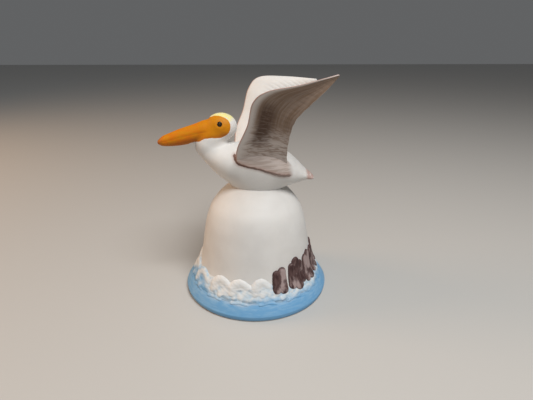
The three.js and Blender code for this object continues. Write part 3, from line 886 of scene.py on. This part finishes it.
class Paint:
    """One Principled material whose colour is built up in brushed layers."""

    def __init__(self, name, colour, roughness, **fixed):
        self.material = bpy.data.materials.new(name)
        self.material.use_nodes = True
        self.tree = self.material.node_tree
        self.shader = self.tree.nodes["Principled BSDF"]
        self.shader.inputs["Roughness"].default_value = roughness
        for socket, value in fixed.items():
            self.shader.inputs[socket.replace("_", " ")].default_value = value
        self.place = self.tree.nodes.new("ShaderNodeTexCoord").outputs["Object"]
        self.colour = colour

    def link(self, value, socket):
        if isinstance(value, bpy.types.NodeSocket):
            self.tree.links.new(value, socket)
        elif isinstance(value, tuple):
            socket.default_value = (*value, 1)
        else:
            socket.default_value = value

    def noise(self, size_mm, detail=4, stretch=(1, 1, 1), distortion=0.0, offset=0.0, place=None):
        """Noise about one size_mm across; stretch lengthens it along an axis."""
        mapping = self.tree.nodes.new("ShaderNodeMapping")
        mapping.inputs["Scale"].default_value = [1 / (size_mm * MM * s) for s in stretch]
        mapping.inputs["Location"].default_value = (offset, offset * 1.7, offset * 2.3)
        texture = self.tree.nodes.new("ShaderNodeTexNoise")
        texture.inputs["Scale"].default_value = 1
        texture.inputs["Detail"].default_value = detail
        texture.inputs["Distortion"].default_value = distortion
        self.tree.links.new(place or self.place, mapping.inputs["Vector"])
        self.tree.links.new(mapping.outputs["Vector"], texture.inputs["Vector"])
        return texture.outputs["Fac"]

    def guide(self, name):
        """A number that the mesh holds at each point."""
        reader = self.tree.nodes.new("ShaderNodeAttribute")
        reader.attribute_name = name
        return reader.outputs["Fac"]

    def sheet(self, length_mm, **guides):
        """A place measured along two guides that run from 0 to 1, each about length_mm long."""
        join = self.tree.nodes.new("ShaderNodeCombineXYZ")
        for letter, name in guides.items():
            self.link(self.math("MULTIPLY", self.guide(name), length_mm * MM), join.inputs[letter.upper()])
        return join.outputs[0]

    def axis(self, letter):
        """Position along an axis, in mm about the bell's axis."""
        split = self.tree.nodes.new("ShaderNodeSeparateXYZ")
        self.tree.links.new(self.place, split.inputs[0])
        scaled = self.math("MULTIPLY", split.outputs[letter], 1 / MM)
        return self.math("SUBTRACT", scaled, AXIS_X / MM) if letter == "X" else scaled

    def math(self, operation, a, b=0.0, c=0.0):
        step = self.tree.nodes.new("ShaderNodeMath")
        step.operation = operation
        for value, socket in zip((a, b, c), step.inputs):
            self.link(value, socket)
        return step.outputs[0]

    def ramp(self, value, low, high):
        """0 at low, 1 at high, easing in between; low may be the larger."""
        step = self.tree.nodes.new("ShaderNodeMapRange")
        step.interpolation_type = "SMOOTHSTEP"
        flipped = low > high
        self.link(value, step.inputs["Value"])
        step.inputs["From Min"].default_value = high if flipped else low
        step.inputs["From Max"].default_value = low if flipped else high
        step.inputs["To Min"].default_value = 1.0 if flipped else 0.0
        step.inputs["To Max"].default_value = 0.0 if flipped else 1.0
        return step.outputs["Result"]

    def all_of(self, *amounts):
        product = amounts[0]
        for amount in amounts[1:]:
            product = self.math("MULTIPLY", product, amount)
        return product

    def blend(self, amount, under, over):
        mix = self.tree.nodes.new("ShaderNodeMix")
        mix.data_type = "RGBA"
        factor, first, second, result = mix.inputs[0], mix.inputs[6], mix.inputs[7], mix.outputs[2]
        self.link(amount, factor)
        self.link(under, first)
        self.link(over, second)
        return result

    def layer(self, amount, colour):
        self.colour = self.blend(amount, self.colour, colour)

    def finish(self, grain=0.25, roughness=None, bump=0.02):
        """Connects the colour, the roughness and a fine grain whose depth, bump, is in mm."""
        self.link(self.colour, self.shader.inputs["Base Color"])
        if roughness is not None:
            self.link(roughness, self.shader.inputs["Roughness"])
        bumped = self.tree.nodes.new("ShaderNodeBump")
        bumped.inputs["Strength"].default_value = grain
        bumped.inputs["Distance"].default_value = bump * MM
        self.link(self.noise(GRAIN_MM, 3), bumped.inputs["Height"])
        self.tree.links.new(bumped.outputs["Normal"], self.shader.inputs["Normal"])
        return self.material


BISQUE_LOOK = {
    "Specular_IOR_Level": 0.25,
    "Subsurface_Weight": 0.08,
    "Subsurface_Radius": (1.0, 0.8, 0.65),
    "Subsurface_Scale": 0.0012,
}


def bisque(name):
    """Bare white bisque: slightly cloudy, with a few pale scorch freckles from the kiln."""
    paint = Paint(name, BISQUE, 0.56, **BISQUE_LOOK)
    cloud = paint.ramp(paint.noise(7, 3), 0.35, 0.7)
    paint.layer(paint.math("MULTIPLY", cloud, 0.45), BISQUE_SHADE)
    freckle = paint.ramp(paint.noise(0.7, 2, offset=3), 0.73, 0.8)
    paint.layer(paint.math("MULTIPLY", freckle, 0.12), KILN_FRECKLE)
    return paint


def bisque_roughness(paint):
    return paint.math("MULTIPLY_ADD", paint.noise(1.6, 4, offset=5), 0.16, 0.47)


def sea_paint(paint, amount_limit):
    """The blue foot, laid on with a wet brush that ran out among the foam."""
    around = (3.4, 3.4, 0.8)
    wobble = paint.math("MULTIPLY_ADD", paint.noise(1.5, 4, around, 0.6), 2.4, -1.2)
    level = paint.math("ADD", paint.guide("sea"), wobble)
    streak = paint.ramp(paint.noise(1.1, 5, (3, 3, 0.55), 0.4, offset=2), 0.36, 0.66)
    blue = paint.blend(paint.math("MULTIPLY", streak, 0.35), SKY_BLUE, PALE_BLUE)
    deep = paint.ramp(paint.axis("Z"), 4.6, 1.2)
    blue = paint.blend(paint.math("MULTIPLY", deep, 0.7), blue, SKY_BLUE)
    wash = paint.ramp(level, -1.9, 1.4)
    paint.layer(paint.all_of(wash, amount_limit, 0.42), PALE_BLUE)
    paint.layer(paint.all_of(paint.ramp(level, -1, 1.5), amount_limit), blue)
    # painted shade: darker slate strokes on the sea, under the foam
    strokes = paint.ramp(paint.guide("shadow"), 0.0, 0.75)
    paint.layer(paint.all_of(strokes, amount_limit, 0.45), SLATE_BLUE)


def bell_paint():
    paint = bisque("painted_bisque")
    outside = paint.guide("outside")
    bare_foot = paint.ramp(paint.axis("Z"), 0.25, 0.6)
    sea_paint(paint, paint.all_of(outside, bare_foot))
    return paint.finish(roughness=bisque_roughness(paint))


def foam_paint():
    paint = bisque("foam_bisque")
    paint.layer(0.5, FOAM_WHITE)
    raised = paint.guide("raised")
    # painted shade: pale blue in the foam's low hollows, kept below the crest tops
    hollow_shade = paint.all_of(paint.ramp(raised, 0.84, 0.36), paint.ramp(paint.guide("sea"), -5, -3.2))
    patchy = paint.ramp(paint.noise(1.3, 4, offset=8), 0.3, 0.62)
    paint.layer(paint.all_of(hollow_shade, patchy, 0.8), PALE_BLUE)
    sea_paint(paint, paint.math("MULTIPLY_ADD", paint.ramp(raised, 1, 0.45), 0.85, 0.15))
    return paint.finish(roughness=bisque_roughness(paint))


def pile_paint():
    paint = Paint("piling_bisque", PILE_DARK, 0.5, **BISQUE_LOOK)
    grain = (1, 1, 4)
    paint.layer(paint.math("MULTIPLY", paint.ramp(paint.noise(0.9, 4, grain), 0.35, 0.65), 0.8), PILE_MID)
    # painted highlight: paler pink-brown patches on the posts' raised crowns
    high = paint.ramp(paint.guide("raised"), 0.5, 0.85)
    highlight_patch = paint.ramp(paint.noise(3, 4, (1, 1, 1.7), 0.2, offset=4), 0.44, 0.6)
    paint.layer(paint.all_of(high, highlight_patch, 0.85), PILE_HIGHLIGHT)
    paint.layer(paint.ramp(paint.guide("raised"), 0.08, 0.0), FOAM_WHITE)
    return paint.finish(roughness=paint.math("MULTIPLY_ADD", paint.noise(1.2, 4), 0.2, 0.42))


def pelican_paint():
    paint = bisque("pelican_bisque")
    crown = paint.ramp(paint.guide("crest"), 0.35, -0.15)
    feathery = paint.ramp(paint.noise(0.6, 4, (2, 2, 1)), 0.25, 0.55)
    paint.layer(paint.all_of(crown, feathery, 0.85), CREST_YELLOW)
    x = paint.axis("X")
    # rose-brown over the tail's end: painted tail feathers, darkened as painted shade where the tail turns
    # away
    rump = paint.ramp(x, 17.9, 19.2)
    paint.layer(paint.all_of(rump, paint.ramp(paint.noise(1, 4), 0.2, 0.5), 0.8), ROSE_BROWN)
    strokes = paint.ramp(paint.noise(0.8, 3, (9, 5, 1), 0.8, offset=7), 0.42, 0.62)
    # the shoulder pad takes the wing underside's mauve and brown: a wash with painted shade
    pad = paint.guide("shoulder")
    paint.layer(paint.all_of(pad, 0.8), WING_MAUVE)
    paint.layer(paint.all_of(pad, strokes, 0.35), WING_WASH_AND_SHADE)
    root = paint.math("MULTIPLY_ADD", paint.noise(1.2, 4, offset=1), 0.7, paint.guide("root"))
    root = paint.math("MULTIPLY_ADD", paint.ramp(x, -2, -5.5), -0.05, root)
    root = paint.math("MULTIPLY_ADD", paint.ramp(x, 4.5, 8), -0.15, root)
    fading = paint.math("MULTIPLY_ADD", paint.ramp(x, 11.5, -6), 0.4, 0.6)
    paint.layer(paint.all_of(paint.ramp(root, 0.95, 0.6), fading), UMBER)
    paint.layer(paint.all_of(paint.ramp(root, 1.9, 0.8), 0.3), ROSE_BROWN)
    orange = paint.blend(paint.ramp(x, -22, -14), ORANGE, AMBER)
    orange = paint.blend(paint.ramp(paint.noise(1.4, 4, (2.5, 1, 1)), 0.3, 0.7), orange, AMBER)
    gape = paint.guide("gape")
    orange = paint.blend(paint.all_of(paint.ramp(gape, -0.9, -2.3), 0.5), orange, RUST)
    orange = paint.blend(paint.all_of(paint.ramp(x, -31.6, -34.2), 0.6), orange, RUST)
    # painted shade: rust darkening along the crease of the gape
    gape_crease_shade = paint.all_of(paint.ramp(paint.math("ABSOLUTE", gape), 0.32, 0.08), paint.ramp(x, -15.5, -18))
    orange = paint.blend(paint.math("MULTIPLY", gape_crease_shade, 0.2), orange, RUST)
    edge = paint.math("MULTIPLY_ADD", paint.noise(0.8, 3), 0.3, paint.guide("face"))
    paint.layer(paint.ramp(edge, 0.2, 0.08), orange)
    eye = paint.ramp(paint.guide("eye"), 0.06, -0.02)
    paint.layer(eye, EYE_BLACK)
    # a warm brown centre in the eye: the iris and a painted glint
    paint.layer(paint.ramp(paint.guide("eye"), -0.42, -0.6), EYE_IRIS_GLINT)
    rough = paint.math("MULTIPLY_ADD", eye, -0.32, bisque_roughness(paint))
    return paint.finish(roughness=rough)


def wing_paint():
    paint = bisque("wing_bisque")
    under, along, across = paint.guide("under"), paint.guide("along"), paint.guide("across")
    blade = paint.sheet(40, x="across", y="along")
    chordwise = paint.noise(0.75, 3, (13, 1, 1), 1.1, offset=6, place=blade)
    spanwise = paint.noise(1.7, 4, (1, 7, 1), 0.4, offset=2, place=blade)
    # The underside only is painted darker: a mauve and brown wash for the dark flight feathers, with
    # painted shade where it faces away from the light.
    behind_edge = paint.ramp(across, 0.05, 0.22)
    paint.layer(paint.all_of(under, paint.math("MULTIPLY_ADD", behind_edge, 0.25, 0.45)), WING_MAUVE)
    inner_half = paint.all_of(paint.ramp(along, 0.05, 0.16), paint.ramp(along, 0.5, 0.3))
    wavy = paint.all_of(paint.ramp(chordwise, 0.4, 0.62), inner_half)
    paint.layer(paint.all_of(under, behind_edge, wavy, 0.6), WING_WASH_AND_SHADE)
    # the hand's underside: a brushed brown wash, darkened as painted shade
    hand = paint.all_of(paint.ramp(along, 0.2, 0.42), behind_edge, under)
    brushed = paint.math("MULTIPLY_ADD", paint.ramp(spanwise, 0.3, 0.7), 0.22, 0.72)
    paint.layer(paint.all_of(hand, brushed), WING_WASH_AND_SHADE)
    # the darkest patch, in the cupped hollow under the wrist: brown paint and painted shade
    heart_shade = paint.all_of(paint.ramp(along, 0.12, 0.3), paint.ramp(along, 0.6, 0.44), under)
    heart_shade = paint.all_of(heart_shade, paint.ramp(across, 0.15, 0.3), paint.ramp(across, 0.74, 0.4))
    bristles = paint.math("MULTIPLY_ADD", paint.ramp(chordwise, 0.35, 0.55), 0.25, 0.7)
    paint.layer(paint.all_of(heart_shade, bristles), UMBER)
    paint.layer(paint.all_of(paint.ramp(across, 0.03, 0.008), 0.85), ROSE_BROWN)
    return paint.finish(roughness=bisque_roughness(paint))


def plaster_paint():
    paint = Paint("plaster", PLASTER, 0.9)
    paint.layer(paint.ramp(paint.noise(0.8, 5), 0.4, 0.65), PLASTER_SHADE)
    return paint.finish(grain=0.8, bump=0.12)


def wire_paint():
    paint = Paint("steel_wire", STEEL, 0.34, Metallic=1.0)
    paint.layer(paint.ramp(paint.noise(0.6, 5), 0.5, 0.75), STEEL_TARNISH)
    return paint.finish(roughness=paint.math("MULTIPLY_ADD", paint.noise(0.4, 4), 0.3, 0.22))


def bead_paint():
    paint = Paint("bead_porcelain", BEAD_WHITE, 0.3, **BISQUE_LOOK)
    paint.layer(paint.ramp(paint.noise(2.5, 4), 0.45, 0.7), BEAD_CLOUD)
    scuff = paint.ramp(paint.noise(0.5, 4, (4, 1, 1), offset=2), 0.66, 0.74)
    paint.layer(paint.math("MULTIPLY", scuff, 0.3), BEAD_SCUFF)
    return paint.finish(roughness=paint.math("MULTIPLY_ADD", paint.noise(1, 4), 0.2, 0.2))


# ---- assembly ----


def fit(piece, body, slot, material, *nodes):
    """Gives a piece its material and its body and hides the CAD nodes that it stands for; slot is not used.
    """
    piece.data.materials.append(material)
    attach(piece, body)
    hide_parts(*nodes)


def build_bell():
    bell_material, foam_material = bell_paint(), foam_paint()
    fit(bell_cup(), "bell", "painted_bisque", bell_material, "bell_shell")
    fit(wave_band(), "bell", "foam_bisque", foam_material, "wave_relief")
    pile_material = pile_paint()
    for index, piles in enumerate(PILE_CLUSTERS, 1):
        fit(pile_cluster(index, piles), "bell", "piling_bisque", pile_material, f"piling_cluster_{index}")
    fit(pelican(), "bell", "pelican_bisque", pelican_paint(), "pelican_body")
    wing_material = wing_paint()
    fit(wing("wing_left", LEFT_WING), "bell", "wing_bisque", wing_material, "left_wing")
    fit(wing("wing_right", RIGHT_WING), "bell", "wing_bisque", wing_material, "right_wing")
    wire_material = wire_paint()
    fit(plug(), "bell", "plaster", plaster_paint(), "hanger_plug")
    fit(staple(), "bell", "steel_wire", wire_material, "hanger_staple")
    fit(split_ring(), "ring", "steel_wire", wire_material, "hanger_ring")
    fit(clapper_wire(), "clapper", "steel_wire", wire_material, "clapper_rod")
    fit(bead(), "bead", "bead_porcelain", bead_paint(), "clapper_bead")


# ---- the room ----

CAMERA_MM = (0, -139.8, 90.8)
CAMERA_PITCH = 21.9
CAMERA_YAW = 1.69
CAMERA_LENS = 27.0
FLOOR_SIZE = 3.0
FLOOR_COLOUR = (0.52, 0.51, 0.49)
ROOM_COLOUR = (0.86, 0.88, 0.9)
ROOM_STRENGTH = 0.14
# Each light: its place and its target in mm, its width in mm, its power in watts and its colour.
LIGHTS = {
    "overhead": ((95, -205, 445), (0, 0, 40), 260, 2.3, (1, 0.99, 0.97)),
    "warm_side": ((-460, 70, 210), (-5, 0, 40), 240, 1, (1, 0.62, 0.34)),
}


def add_floor():
    half = FLOOR_SIZE / 2
    mesh = bpy.data.meshes.new("floor")
    corners = [(-half, -half, 0), (half, -half, 0), (half, half, 0), (-half, half, 0)]
    mesh.from_pydata(corners, [], [(0, 1, 2, 3)])
    floor = bpy.data.objects.new("floor", mesh)
    bpy.context.scene.collection.objects.link(floor)
    material = bpy.data.materials.new("floor")
    material.use_nodes = True
    shader = material.node_tree.nodes["Principled BSDF"]
    shader.inputs["Base Color"].default_value = (*FLOOR_COLOUR, 1)
    shader.inputs["Roughness"].default_value = 0.6
    mesh.materials.append(material)


def add_area_light(name, place_mm, target_mm, size_mm, power, colour):
    data = bpy.data.lights.new(name, "AREA")
    data.shape = "DISK"
    data.size = size_mm * MM
    data.energy = power
    data.color = colour
    light = bpy.data.objects.new(name, data)
    place = Vector(place_mm) * MM
    aim = Vector(target_mm) * MM - place
    light.location = place + Vector((AXIS_X, 0, 0))
    light.rotation_euler = aim.to_track_quat("-Z", "Y").to_euler()
    bpy.context.scene.collection.objects.link(light)


def add_lights():
    for name, light in LIGHTS.items():
        add_area_light(name, *light)
    world = bpy.data.worlds.new("room")
    world.use_nodes = True
    background = world.node_tree.nodes["Background"]
    background.inputs["Color"].default_value = (*ROOM_COLOUR, 1)
    background.inputs["Strength"].default_value = ROOM_STRENGTH
    bpy.context.scene.world = world


def add_camera():
    data = bpy.data.cameras.new("camera")
    data.lens = CAMERA_LENS
    data.sensor_width = 36
    data.clip_start = 0.005
    camera = bpy.data.objects.new("camera", data)
    camera.location = Vector(CAMERA_MM) * MM + Vector((AXIS_X, 0, 0))
    camera.rotation_euler = Euler((math.radians(90 - CAMERA_PITCH), 0, -math.radians(CAMERA_YAW)))
    bpy.context.scene.collection.objects.link(camera)
    bpy.context.scene.camera = camera


build_bell()
add_floor()
add_lights()
add_camera()
bpy.context.scene.view_settings.view_transform = "Standard"
